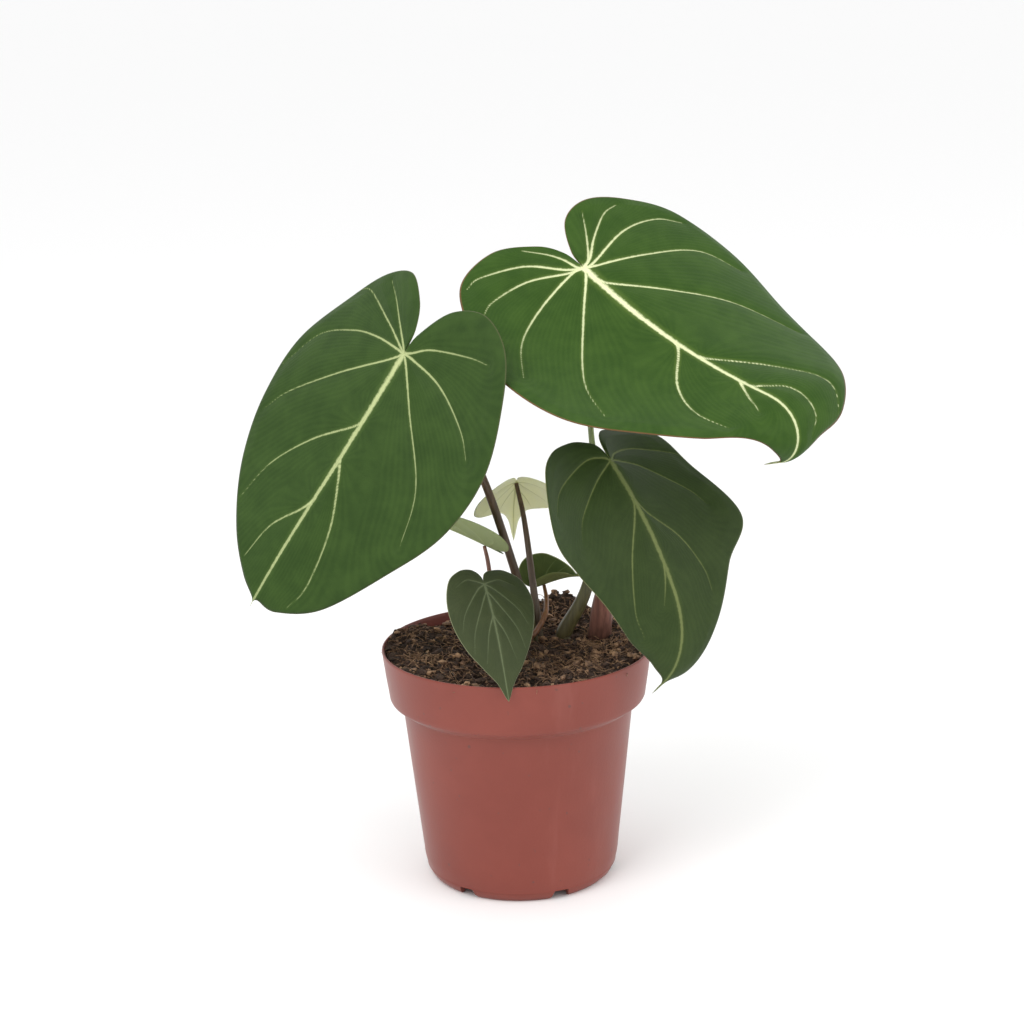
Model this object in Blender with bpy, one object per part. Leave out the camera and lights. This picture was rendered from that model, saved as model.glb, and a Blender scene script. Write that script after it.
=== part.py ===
# Potted philodendron: seven heart-shaped blades on round stalks, two bud sheaths,
# a heaped bed of compost and a moulded nursery pot.  Metres, +Z up.
import math

import bmesh
import bpy
import numpy as np

MM = 0.001

for old in list(bpy.data.objects):
    bpy.data.objects.remove(old, do_unlink=True)

# ---------------------------------------------------------------- dimensions
POT_HEIGHT = 106.1          # foot to lip
RIM_RADIUS = 60.0           # outside of the lip
RIM_BOTTOM_RADIUS = 57.0    # outside of the band's lower edge
RIM_BOTTOM_Z = 83.5
NECK_RADIUS = 51.4          # body, right under the band
NECK_Z = 79.4
HEEL_RADIUS = 44.1          # body, above the rounded heel
HEEL_Z = 12.8
RIB_RADIUS = 42.7           # fine rib where the foot ring begins
RIB_Z = 4.74
FOOT_RADIUS = 39.7
FOOT_RING = 1.6             # width of the flat ring the pot stands on
POT_WALL = 1.3
POT_FLOOR_Z = 4.8           # underside of the floor
POT_TURN_STEPS = 60

NOTCH_COUNT = 6             # drainage notches in the foot ring
NOTCH_WIDTH = 9.0
NOTCH_TOP_WIDTH = 6.5
NOTCH_HEIGHT = 4.2
NOTCH_START = math.radians(-66.0)

SEAT_GAP = 0.3              # clear gap between pieces that rest on each other
SOIL_LEVEL = 103.6          # general level of the compost, below the lip
SOIL_STEPS = 48
SOIL_RINGS = (0.0, 8.0, 16.0, 24.0, 32.0, 40.0, 47.0, 53.0, 57.2)
# heaps and hollows: x, y, height, spread
SOIL_HEAPS = (
    (20.0, 50.0, 7.0, 15.0),
    (-50.0, 16.0, 3.4, 13.0),
    (-28.0, 46.0, -4.0, 12.0),
    (14.0, 6.0, 1.8, 20.0),
    (44.0, -20.0, -1.5, 16.0),
    (-12.0, -48.0, -3.6, 12.0),
)

BLADE_THICKNESS = 0.8
# directions, from the tip round to the stalk, in which the reach of a blade is measured
REACH_ANGLES = (0, 5, 14, 30, 50, 72, 96, 118, 140, 158, 172)
SINUS_DEPTH = 1.0           # the two lobes meet this far behind the stalk


# ---------------------------------------------------------------- materials
def material(name, colour, roughness):
    mat = bpy.data.materials.new(name)
    mat.use_nodes = True
    shader = mat.node_tree.nodes["Principled BSDF"]
    shader.inputs["Base Color"].default_value = (*colour, 1.0)
    shader.inputs["Roughness"].default_value = roughness
    mat.diffuse_color = (*colour, 1.0)
    return mat


POT_PLASTIC = material("pot_plastic", (0.33, 0.095, 0.07), 0.45)
COMPOST = material("compost", (0.035, 0.022, 0.016), 0.95)
BLADE_GREEN = material("blade_green", (0.06, 0.13, 0.035), 0.5)
BLADE_PALE = material("blade_pale", (0.42, 0.42, 0.22), 0.55)
STALK_GREEN = material("stalk_green", (0.12, 0.13, 0.045), 0.45)
STALK_BROWN = material("stalk_brown", (0.07, 0.04, 0.028), 0.45)
STALK_RED = material("stalk_red", (0.20, 0.07, 0.05), 0.45)
SHEATH_RED = material("sheath_red", (0.32, 0.11, 0.085), 0.5)


# ---------------------------------------------------------------- helpers
def new_object(name, bm, mat, smooth=True):
    bmesh.ops.recalc_face_normals(bm, faces=bm.faces)
    mesh = bpy.data.meshes.new(name)
    bm.to_mesh(mesh)
    bm.free()
    for poly in mesh.polygons:
        poly.use_smooth = smooth
    obj = bpy.data.objects.new(name, mesh)
    bpy.context.scene.collection.objects.link(obj)
    obj.data.materials.append(mat)
    return obj


def turned(profile, steps):
    """Solid of revolution about Z from a (radius, z) profile in millimetres."""
    bm = bmesh.new()
    verts = [bm.verts.new((r * MM, 0.0, z * MM)) for r, z in profile]
    edges = [bm.edges.new(pair) for pair in zip(verts, verts[1:])]
    bmesh.ops.spin(bm, geom=verts + edges, cent=(0, 0, 0), axis=(0, 0, 1), dvec=(0, 0, 0),
                   angle=math.tau, steps=steps, use_merge=True, use_duplicate=False)
    bmesh.ops.remove_doubles(bm, verts=bm.verts, dist=0.00001)
    return bm


def soil_height(x, y):
    """Level of the compost at a point, all in millimetres."""
    level = SOIL_LEVEL + 0.35 * math.sin(0.21 * x + 0.4) * math.cos(0.18 * y)
    for hx, hy, height, spread in SOIL_HEAPS:
        level += height * math.exp(-((x - hx) ** 2 + (y - hy) ** 2) / (2.0 * spread ** 2))
    return level


def smooth_path(points, samples):
    """Catmull-Rom curve through the points."""
    pts = np.asarray(points, float)
    ends = np.vstack([2 * pts[0] - pts[1], pts, 2 * pts[-1] - pts[-2]])
    t = np.linspace(0.0, 1.0, samples, endpoint=False)[:, None]
    spans = []
    for i in range(1, len(ends) - 2):
        a, b, c, d = ends[i - 1:i + 3]
        spans.append(0.5 * (2 * b + (c - a) * t + (2 * a - 5 * b + 4 * c - d) * t ** 2
                            + (3 * b - a - 3 * c + d) * t ** 3))
    spans.append(pts[-1:])
    return np.vstack(spans)


# ---------------------------------------------------------------- pot
POT_PROFILE = (
    (0.0, POT_FLOOR_Z),
    (FOOT_RADIUS - FOOT_RING, POT_FLOOR_Z),
    (FOOT_RADIUS - FOOT_RING, 0.0),
    (FOOT_RADIUS, 0.0),
    (FOOT_RADIUS + 1.7, 1.7),
    (RIB_RADIUS - 0.3, RIB_Z - 0.5),
    (RIB_RADIUS + 0.15, RIB_Z),
    (RIB_RADIUS + 0.1, RIB_Z + 0.5),
    (HEEL_RADIUS - 0.5, 8.6),
    (HEEL_RADIUS, HEEL_Z),
    (NECK_RADIUS, NECK_Z),
    (NECK_RADIUS + 0.5, NECK_Z + 0.7),
    (RIM_BOTTOM_RADIUS - 0.5, RIM_BOTTOM_Z - 0.3),
    (RIM_BOTTOM_RADIUS, RIM_BOTTOM_Z + 0.4),
    (RIM_RADIUS, POT_HEIGHT - 0.7),
    (RIM_RADIUS - 0.3, POT_HEIGHT),
    (RIM_RADIUS - 0.9, POT_HEIGHT),
    (RIM_RADIUS - POT_WALL, POT_HEIGHT - 0.9),
    (RIM_BOTTOM_RADIUS - POT_WALL, RIM_BOTTOM_Z + 1.4),
    (NECK_RADIUS - POT_WALL, NECK_Z + 1.8),
    (NECK_RADIUS - POT_WALL, NECK_Z - 0.8),
    (HEEL_RADIUS - POT_WALL, HEEL_Z),
    (HEEL_RADIUS - 3.2, POT_FLOOR_Z + POT_WALL),
    (0.0, POT_FLOOR_Z + POT_WALL),
)
pot = new_object("pot", turned(POT_PROFILE, POT_TURN_STEPS), POT_PLASTIC)

for index in range(NOTCH_COUNT):
    angle = NOTCH_START + index * math.tau / NOTCH_COUNT
    cutter_bm = bmesh.new()
    bmesh.ops.create_cube(cutter_bm, size=1.0)
    for vert in cutter_bm.verts:
        width = NOTCH_TOP_WIDTH if vert.co.z > 0 else NOTCH_WIDTH
        vert.co.x = FOOT_RADIUS * MM + vert.co.x * 14.0 * MM
        vert.co.y *= width * MM
        vert.co.z = NOTCH_HEIGHT * MM if vert.co.z > 0 else -1.0 * MM
    cutter = new_object("notch_cutter_%d" % (index + 1), cutter_bm, POT_PLASTIC, smooth=False)
    cutter.rotation_euler.z = angle
    cutter.hide_render = True
    cutter.display_type = "WIRE"
    notch = pot.modifiers.new("notch_%d" % (index + 1), "BOOLEAN")
    notch.operation = "DIFFERENCE"
    notch.solver = "EXACT"
    notch.object = cutter

# ---------------------------------------------------------------- compost
SOIL_BED = (
    (0.0, POT_FLOOR_Z + POT_WALL + SEAT_GAP),
    (HEEL_RADIUS - 3.6, POT_FLOOR_Z + POT_WALL + SEAT_GAP),
    (HEEL_RADIUS - POT_WALL - 0.4, HEEL_Z + 0.2),
    (NECK_RADIUS - POT_WALL - 0.4, NECK_Z - 0.8),
    (NECK_RADIUS - POT_WALL - 0.4, NECK_Z + 2.1),
    (RIM_BOTTOM_RADIUS - POT_WALL - 0.6, RIM_BOTTOM_Z + 1.8),
    (57.4, 99.5),
)
soil_profile = SOIL_BED + tuple((r, 200.0) for r in reversed(SOIL_RINGS))
soil_bm = turned(soil_profile, SOIL_STEPS)
for vert in soil_bm.verts:
    if vert.co.z > 0.15:
        vert.co.z = soil_height(vert.co.x / MM, vert.co.y / MM) * MM
new_object("soil", soil_bm, COMPOST)


# ---------------------------------------------------------------- blades
class Blade:
    """A leaf blade: a flat heart bent along its midrib and across each half.

    x runs across the blade, y along the midrib from the stalk to the tip.  The heading
    is the compass direction of the midrib, lean its slope at the stalk, droop the change
    of slope over the whole length and hook the extra curl of the last part.
    """

    def __init__(self, stalk_at, length, heading, lean, droop, hook, hook_from, roll, twist,
                 folds, curls):
        self.length = length
        self.roll = math.radians(roll)
        self.twist = math.radians(twist)
        self.folds = [math.radians(value) for value in folds]
        self.curls = [math.radians(value) for value in curls]
        self.stations = np.linspace(-0.9 * length, 1.3 * length, 220)
        part_way = np.minimum(self.stations / length, 1.0)
        curl = np.clip((part_way - hook_from) / (1.0 - hook_from), 0.0, None) ** 1.5
        self.slope = np.radians(lean + droop * part_way + hook * curl)
        self.ahead = np.array((math.cos(math.radians(heading)), math.sin(math.radians(heading)), 0.0))
        along = np.outer(np.cos(self.slope), self.ahead)
        along[:, 2] = np.sin(self.slope)
        step = self.stations[1] - self.stations[0]
        path = np.vstack([np.zeros(3), np.cumsum((along[1:] + along[:-1]) * 0.5 * step, axis=0)])
        at_stalk = [np.interp(0.0, self.stations, path[:, k]) for k in range(3)]
        self.path = path - at_stalk + np.array(stalk_at)

    def point(self, x, y):
        x = np.asarray(x, float)
        y = np.asarray(y, float)
        rib = np.stack([np.interp(y, self.stations, self.path[:, k]) for k in range(3)], -1)
        slope = np.interp(y, self.stations, self.slope)
        up = -np.sin(slope)[..., None] * self.ahead
        up[..., 2] = np.cos(slope)
        side = np.array((self.ahead[1], -self.ahead[0], 0.0))
        turn = (self.roll + self.twist * y / self.length)[..., None]
        across = np.cos(turn) * side + np.sin(turn) * up
        normal = np.cos(turn) * up - np.sin(turn) * side
        fold = np.where(x < 0, self.folds[0], self.folds[1])
        curl = np.where(x < 0, self.curls[0], self.curls[1])
        reach = np.abs(x)
        out = (np.sin(fold + curl * reach) - np.sin(fold)) / curl
        lift = (np.cos(fold) - np.cos(fold + curl * reach)) / curl
        return rib + (np.sign(x) * out)[..., None] * across + lift[..., None] * normal

    def normal(self, x, y):
        dx = self.point(x + 0.05, y) - self.point(x - 0.05, y)
        dy = self.point(x, y + 0.05) - self.point(x, y - 0.05)
        cross = np.cross(dx, dy)
        return cross / np.linalg.norm(cross, axis=-1, keepdims=True)


def half_outline(reaches, tail, side, samples):
    """Edge of one half of a blade, from the sinus round the lobe to the tip."""
    points = [(0.0, -SINUS_DEPTH)]
    for angle, reach in list(zip(REACH_ANGLES, reaches))[:0:-1]:
        points.append((reach * math.sin(math.radians(angle)), reach * math.cos(math.radians(angle))))
    points += [(1.1, reaches[0]), (0.0, reaches[0] + tail)]
    edge = smooth_path(points, samples)
    edge[:, 0] = np.maximum(edge[:, 0], 0.0) * side
    return edge


def add_blade(name, mat, blade, left, right, tail, samples, rings):
    """Thin closed blade: upper and lower skins of rings about the stalk, sharing one edge."""
    left_edge = half_outline(left, tail, -1, samples)
    right_edge = half_outline(right, tail, 1, samples)
    edge = np.vstack([left_edge, right_edge[-2:0:-1]])
    bm = bmesh.new()

    def ring(scale, height):
        flat = edge * scale
        spots = blade.point(flat[:, 0], flat[:, 1]) + height * blade.normal(flat[:, 0], flat[:, 1])
        return [bm.verts.new(spot * MM) for spot in spots]

    centre = np.zeros(1)
    skins = []
    half = 0.5 * BLADE_THICKNESS
    rim = ring(1.0, 0.0)
    for side in (1, -1):
        hub = bm.verts.new((blade.point(centre, centre)[0]
                            + side * half * blade.normal(centre, centre)[0]) * MM)
        inner = [ring(scale, side * half) for scale in rings]
        skins.append((hub, inner + [rim]))
    count = len(edge)
    for hub, loops in skins:
        for i in range(count):
            j = (i + 1) % count
            bm.faces.new((hub, loops[0][i], loops[0][j]))
            for low, high in zip(loops, loops[1:]):
                bm.faces.new((low[i], high[i], high[j], low[j]))
    return new_object(name, bm, mat)


LARGE_RINGS = (0.16, 0.36, 0.58, 0.78, 0.93)
SMALL_RINGS = (0.3, 0.62, 0.9)

blade_left = Blade((-44.3, -24.5, 242.8), 123, -171, -57, 3, -5, 0.55, 38, 25, (-15, -5), (0.39, -0.24))
add_blade("blade_left", BLADE_GREEN, blade_left,
          (123, 124, 115, 92, 79, 69, 58, 52, 42, 28, 11),
          (123, 117, 105, 89, 77, 69, 55, 48, 39, 24, 12), 4.0, 3, LARGE_RINGS)

blade_top = Blade((32.8, 5.3, 272.7), 145, -42, -34, 26, -158, 0.72, -21, 15, (2, -19), (-0.33, 0.45))
add_blade("blade_top", BLADE_GREEN, blade_top,
          (145, 133, 128, 114, 93, 82, 66, 50, 40, 28, 11),
          (145, 136, 120, 102, 94, 76, 60, 53, 40, 24, 12), 9.0, 3, LARGE_RINGS)

blade_right = Blade((41.7, -31.9, 196.2), 105, -35, -51, -30, -53, 0.55, -9, -34, (-19, -21), (0.45, 1.06))
add_blade("blade_right", BLADE_GREEN, blade_right,
          (105, 98, 81, 68, 67, 48, 43, 28, 20, 14, 8),
          (105, 100, 88, 65, 58, 60, 42, 30, 20, 13, 8), 9.0, 3, LARGE_RINGS)

blade_front = Blade((-13.0, -43.5, 146.8), 49, -66, -51, -28, 10, 0.55, 14, -20, (-5, 3), (0.4, -0.3))
add_blade("blade_front", BLADE_GREEN, blade_front,
          (49, 44, 38, 31, 26, 23, 20, 15, 9, 6, 3.5),
          (49, 43, 37, 31, 26, 22, 18, 13, 9, 6, 3.5), 2.0, 2, SMALL_RINGS)

blade_edge = Blade((-12.3, -5.0, 153.2), 42, 176, 28, -10, -10, 0.55, -24, 0, (14, 10), (-0.1, -0.1))
add_blade("blade_edge", BLADE_PALE, blade_edge,
          (42, 39, 33, 27, 23, 20, 18, 15, 12, 9, 5),
          (42, 39, 33, 27, 23, 20, 18, 15, 12, 9, 5), 3.0, 2, SMALL_RINGS)

blade_back = Blade((1.5, 14.0, 177.0), 40, 94, -36, -12, -50, 0.5, 4, 0, (-24, -20), (-0.4, -0.4))
add_blade("blade_back", BLADE_PALE, blade_back,
          (40, 33, 27, 25, 25, 24, 21, 15, 11, 8, 5),
          (40, 33, 27, 25, 25, 24, 21, 15, 11, 8, 5), 4.0, 2, SMALL_RINGS)

blade_curled = Blade((12.4, 16.0, 128.4), 17, 12, 18, -15, -10, 0.55, 0, 0, (60, 38), (-0.8, 0.5))
add_blade("blade_curled", BLADE_GREEN, blade_curled,
          (17, 16, 15, 14, 14, 15, 15, 13, 10, 7, 4),
          (17, 15, 13, 12, 11, 11, 10, 9, 7, 5, 3), 3.0, 2, SMALL_RINGS)


# ---------------------------------------------------------------- stalks
def highest_under(foot, radius):
    """Highest compost under a round foot."""
    spots = [(foot[0] + r * math.cos(a), foot[1] + r * math.sin(a))
             for r in (0.0, 0.5 * radius, radius) for a in np.linspace(0.0, math.tau, 12)]
    return max(soil_height(*spot) for spot in spots)


def add_stalk(name, mat, blade, foot, path, radii):
    """Round tapering stalk from the compost to the underside of its blade."""
    foot_z = highest_under(foot, radii[0]) + SEAT_GAP
    centre = np.zeros(1)
    under = blade.point(centre, centre + 0.5)[0] - (
        0.5 * BLADE_THICKNESS + SEAT_GAP + radii[-1]) * blade.normal(centre, centre + 0.5)[0]
    points = [(foot[0], foot[1], foot_z), (foot[0], foot[1], foot_z + 4.0)] + list(path) + [tuple(under)]
    radii = (radii[0],) + tuple(radii)
    curve = bpy.data.curves.new(name, "CURVE")
    curve.dimensions = "3D"
    curve.bevel_depth = 1.0 * MM
    curve.bevel_resolution = 1
    curve.resolution_u = 5
    curve.use_fill_caps = True
    spline = curve.splines.new("BEZIER")
    spline.bezier_points.add(len(points) - 1)
    for knot, point, radius in zip(spline.bezier_points, points, radii):
        knot.co = [value * MM for value in point]
        knot.radius = radius
        knot.handle_left_type = knot.handle_right_type = "AUTO"
    obj = bpy.data.objects.new(name, curve)
    bpy.context.scene.collection.objects.link(obj)
    curve.materials.append(mat)
    return obj


add_stalk("stalk_left", STALK_BROWN, blade_left, (6.0, 10.5),
          ((3.6, 8.0, 124.6), (-12.0, -3.0, 180.6), (-27.0, -9.0, 214.0)), (2.3, 2.0, 1.8, 1.7, 1.0))
add_stalk("stalk_top", STALK_GREEN, blade_top, (22.0, 7.0),
          ((31.5, 4.5, 129.0), (38.0, 3.0, 160.0), (34.8, 3.0, 200.0), (32.5, 5.0, 240.0)),
          (3.6, 2.7, 2.1, 1.3, 1.3, 1.0))
add_stalk("stalk_right", STALK_GREEN, blade_right, (37.0, 14.0),
          ((40.0, 9.0, 127.0), (46.0, -3.0, 158.0), (47.0, -16.0, 184.0)), (2.6, 2.2, 1.9, 1.6, 0.9))
add_stalk("stalk_front", STALK_BROWN, blade_front, (-3.0, -2.0),
          ((-5.0, -7.0, 120.0), (-9.0, -18.0, 136.0)), (1.8, 1.5, 1.2, 0.8))
add_stalk("stalk_edge", STALK_RED, blade_edge, (-8.5, 3.0),
          ((-10.2, -2.0, 130.0), (-11.6, -4.6, 145.0)), (1.5, 1.0, 0.95, 0.7))
add_stalk("stalk_back", STALK_BROWN, blade_back, (10.0, 3.0),
          ((7.4, 3.4, 138.0), (4.6, 7.0, 162.0)), (1.9, 1.5, 1.2, 0.8))
add_stalk("stalk_curled", STALK_RED, blade_curled, (6.0, -3.0),
          ((9.0, -2.5, 112.5), (13.0, 0.5, 119.0), (13.8, 9.0, 124.0)), (1.8, 1.3, 1.2, 1.0, 0.7))


# ---------------------------------------------------------------- bud sheaths
def add_sheath(name, mat, foot, lean, height, radius, wrap, facing, thickness):
    """Dry bud sheath: a thin half-rolled strip standing in the compost, tapering to a point."""
    columns, rows = 8, 10
    bm = bmesh.new()
    bmesh.ops.create_grid(bm, x_segments=columns, y_segments=rows, size=0.5)
    foot_z = highest_under(foot, radius) + SEAT_GAP
    for vert in bm.verts:
        around = vert.co.x
        up = vert.co.y + 0.5
        taper = math.sqrt(max(1.0 - up ** 2.2, 0.0)) * 0.94 + 0.06
        angle = math.radians(facing) + around * math.radians(wrap) * taper
        swell = radius * (1.0 - 0.12 * up)
        vert.co.x = (foot[0] + lean[0] * up + swell * math.cos(angle)) * MM
        vert.co.y = (foot[1] + lean[1] * up + swell * math.sin(angle)) * MM
        vert.co.z = (foot_z + height * up) * MM
    obj = new_object(name, bm, mat)
    skin = obj.modifiers.new("skin", "SOLIDIFY")
    skin.thickness = thickness * MM
    skin.offset = -1.0
    return obj


add_sheath("sheath_red", SHEATH_RED, (37.0, 14.0), (5.5, -9.5), 38.0, 5.4, 190.0, -90.0, 0.7)
add_sheath("sheath_olive", STALK_GREEN, (10.0, 3.0), (-1.4, 0.4), 20.0, 3.3, 130.0, 200.0, 0.6)

# ---------------------------------------------------------------- common frame
# the middle of the whole plant's footprint becomes the origin
bpy.context.view_layer.update()
graph = bpy.context.evaluated_depsgraph_get()
corners = []
for obj in bpy.data.objects:
    if not obj.hide_render:
        shape = obj.evaluated_get(graph).to_mesh()
        corners += [obj.matrix_world @ vert.co for vert in shape.vertices]
middle_x = round(0.5 * (min(c.x for c in corners) + max(c.x for c in corners)), 6)
middle_y = round(0.5 * (min(c.y for c in corners) + max(c.y for c in corners)), 6)
for obj in bpy.data.objects:
    obj.location.x -= middle_x
    obj.location.y -= middle_y
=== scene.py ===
import math

import bmesh
import bpy
import numpy as np
from mathutils import Matrix, Vector


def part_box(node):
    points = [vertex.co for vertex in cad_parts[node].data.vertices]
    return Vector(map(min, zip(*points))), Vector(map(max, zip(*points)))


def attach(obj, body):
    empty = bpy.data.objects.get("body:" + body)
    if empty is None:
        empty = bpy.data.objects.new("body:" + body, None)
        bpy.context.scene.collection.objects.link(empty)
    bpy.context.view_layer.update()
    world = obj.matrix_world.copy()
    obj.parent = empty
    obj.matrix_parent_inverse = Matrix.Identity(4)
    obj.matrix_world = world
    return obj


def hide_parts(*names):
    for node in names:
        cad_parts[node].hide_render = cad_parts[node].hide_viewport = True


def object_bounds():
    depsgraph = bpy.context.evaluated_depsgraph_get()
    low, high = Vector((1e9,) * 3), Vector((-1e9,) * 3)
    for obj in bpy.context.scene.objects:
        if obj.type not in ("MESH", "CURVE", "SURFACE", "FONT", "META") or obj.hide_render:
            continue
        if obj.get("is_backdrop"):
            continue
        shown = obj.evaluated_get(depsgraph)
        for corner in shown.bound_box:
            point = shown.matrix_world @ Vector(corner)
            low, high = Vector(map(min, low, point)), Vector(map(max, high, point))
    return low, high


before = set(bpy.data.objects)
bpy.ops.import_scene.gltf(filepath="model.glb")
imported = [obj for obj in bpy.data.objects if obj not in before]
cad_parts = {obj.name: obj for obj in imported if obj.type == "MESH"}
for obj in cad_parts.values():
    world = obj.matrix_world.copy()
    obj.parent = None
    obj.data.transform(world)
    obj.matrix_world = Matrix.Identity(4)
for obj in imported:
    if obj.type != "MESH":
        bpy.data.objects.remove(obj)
cad_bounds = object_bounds()
bpy.ops.object.select_all(action="DESELECT")

# ---------------------------------------------------------------------------
# Pot: a round nursery pot, injection moulded in terracotta-coloured polypropylene with a
# wall little over a millimetre thick. The lip band stands out over the body, and the foot
# ring is notched for drainage.
# ---------------------------------------------------------------------------
MM = 0.001
pot_low, pot_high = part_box("pot")
AXIS = Vector((0.5 * (pot_low.x + pot_high.x), 0.5 * (pot_low.y + pot_high.y), 0.0))

# the section in millimetres, as (radius, height): out under the floor, up outside, down inside
FOOT_RING = ((38.1, 4.8), (38.1, 0.25), (38.35, 0), (39.45, 0), (39.75, 0.25), (41.3, 1.7), (42.25, 3.9))
HEEL_RIB = ((42.35, 4.45), (42.85, 4.65), (42.85, 5.15), (42.95, 5.6), (43.6, 8.6), (43.95, 10.8))
BODY = ((44.1, 12.8), (47.8, 46.5), (51.3, 78.9))
NECK = ((51.45, 79.5), (52.1, 80.1), (53.4, 80.9), (55.6, 82.5), (56.7, 83.3), (57.1, 84.1), (57.3, 85.6))
LIP_BAND = ((58.6, 94.5), (59.85, 104.6), (60.0, 105.3), (59.9, 105.8), (59.6, 106.05), (59.25, 106.0))
INSIDE = ((58.95, 105.6), (58.6, 104.6), (55.7, 84.9), (55.2, 83.7), (50.6, 81.4), (50.1, 80.8),
          (50.05, 78.6), (42.8, 12.8), (42.2, 9.0), (40.9, 6.1))
POT_FACETS = 192

NOTCHES = 6
FIRST_NOTCH = -66.0
NOTCH_HEIGHT = 4.2
NOTCH_TOP = 6.5
NOTCH_MOUTH = 9.6
NOTCH_REACH = 14.0
FOOT_RADIUS = 39.7
UNDER_TABLE = -1.0


def finish(piece, material, node=None, smooth=True):
    """Give a made piece its material and its place in the frame."""
    piece.data.materials.append(material)
    if smooth:
        piece.data.shade_smooth()
    if node:
        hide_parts(node)
    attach(piece, "root")


def add(tree, kind, **settings):
    """A new shader node with its settings."""
    node = tree.nodes.new(kind)
    for key, value in settings.items():
        setattr(node, key, value)
    return node


def wire(tree, source, node, socket):
    """Feed a socket from another socket, a colour or a number."""
    target = node.inputs[socket]
    if isinstance(source, bpy.types.NodeSocket):
        tree.links.new(source, target)
    elif isinstance(source, tuple):
        target.default_value = (*source, 1.0)
    else:
        target.default_value = source


def blend(tree, amount, first, second):
    """Mix two colours."""
    node = add(tree, "ShaderNodeMix", data_type="RGBA")
    wire(tree, amount, node, 0)
    wire(tree, first, node, 6)
    wire(tree, second, node, 7)
    return node.outputs[2]


def remap(tree, value, low, high, out_low=0.0, out_high=1.0, curve="SMOOTHSTEP"):
    """Turn one range of a value into another."""
    node = add(tree, "ShaderNodeMapRange", interpolation_type=curve)
    for key, item in enumerate((value, low, high, out_low, out_high)):
        wire(tree, item, node, key)
    return node.outputs[0]


def combine(tree, how, first, second=0.0):
    """Arithmetic on two values."""
    node = add(tree, "ShaderNodeMath", operation=how)
    wire(tree, first, node, 0)
    wire(tree, second, node, 1)
    return node.outputs[0]


def speckle(tree, scale, detail=3.0, roughness=0.55, stretch=(1.0, 1.0, 1.0)):
    """Noise fixed to the object, with the scale in features per metre."""
    mapping = add(tree, "ShaderNodeMapping")
    wire(tree, add(tree, "ShaderNodeTexCoord").outputs["Object"], mapping, "Vector")
    mapping.inputs["Scale"].default_value = stretch
    noise = add(tree, "ShaderNodeTexNoise")
    wire(tree, mapping.outputs[0], noise, "Vector")
    wire(tree, scale, noise, "Scale")
    wire(tree, detail, noise, "Detail")
    wire(tree, roughness, noise, "Roughness")
    return noise.outputs[0]


def new_material(name):
    """A material, its node tree and its shader."""
    material = bpy.data.materials.new(name)
    material.use_nodes = True
    return material, material.node_tree, material.node_tree.nodes["Principled BSDF"]


def bump(tree, shader, height, depth, strength=1.0):
    """Fine relief in the shading only, with its depth in metres."""
    node = add(tree, "ShaderNodeBump")
    wire(tree, height, node, "Height")
    node.inputs["Distance"].default_value = depth
    node.inputs["Strength"].default_value = strength
    tree.links.new(node.outputs[0], shader.inputs["Normal"])


plastic, tree, shader = new_material("terracotta plastic")
cloud = speckle(tree, 22.0, 4.0)
flow_lines = speckle(tree, 60.0, 4.0, 0.6, (1.0, 1.0, 0.12))
dirt = speckle(tree, 330.0, 1.0)
colour = blend(tree, remap(tree, cloud, 0.3, 0.75), (0.188, 0.036, 0.023), (0.222, 0.047, 0.031))
colour = blend(tree, remap(tree, flow_lines, 0.55, 0.8, 0.0, 0.2), colour, (0.34, 0.13, 0.105))
colour = blend(tree, remap(tree, dirt, 0.73, 0.80), colour, (0.13, 0.045, 0.035))
wire(tree, colour, shader, "Base Color")
wire(tree, remap(tree, cloud, 0.2, 0.8, 0.36, 0.5), shader, "Roughness")
shader.inputs["Specular IOR Level"].default_value = 0.4
shader.inputs["Sheen Weight"].default_value = 0.12
shader.inputs["Sheen Roughness"].default_value = 0.3
mould_grain = combine(tree, "ADD", speckle(tree, 900.0, 2.0), combine(tree, "MULTIPLY", cloud, 3.0))
bump(tree, shader, mould_grain, 0.00012, 0.35)

# the pot grows ring by ring from the middle of its underside to its inner floor
section = FOOT_RING + HEEL_RIB + BODY + NECK + LIP_BAND + INSIDE
bpy.ops.mesh.primitive_circle_add(vertices=POT_FACETS, radius=section[0][0] * MM, fill_type="TRIFAN",
                                  location=(AXIS.x, AXIS.y, section[0][1] * MM))
pot = bpy.context.object
pot.name = "pot_body"
bpy.ops.object.mode_set(mode="EDIT")
bpy.ops.mesh.region_to_loop()
for (radius, height), (next_radius, next_height) in zip(section, section[1:]):
    rise = (next_height - height) * MM
    widen = next_radius / radius
    bpy.ops.mesh.extrude_region_move(TRANSFORM_OT_translate={"value": (0.0, 0.0, rise)})
    bpy.ops.transform.resize(value=(widen, widen, 1.0), center_override=AXIS)
bpy.ops.mesh.edge_face_add()
bpy.ops.mesh.poke()
bpy.ops.mesh.select_all(action="SELECT")
bpy.ops.mesh.normals_make_consistent(inside=False)
bpy.ops.object.mode_set(mode="OBJECT")
bpy.ops.object.transform_apply(location=True, rotation=True, scale=True)
finish(pot, plastic, "pot")

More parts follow.
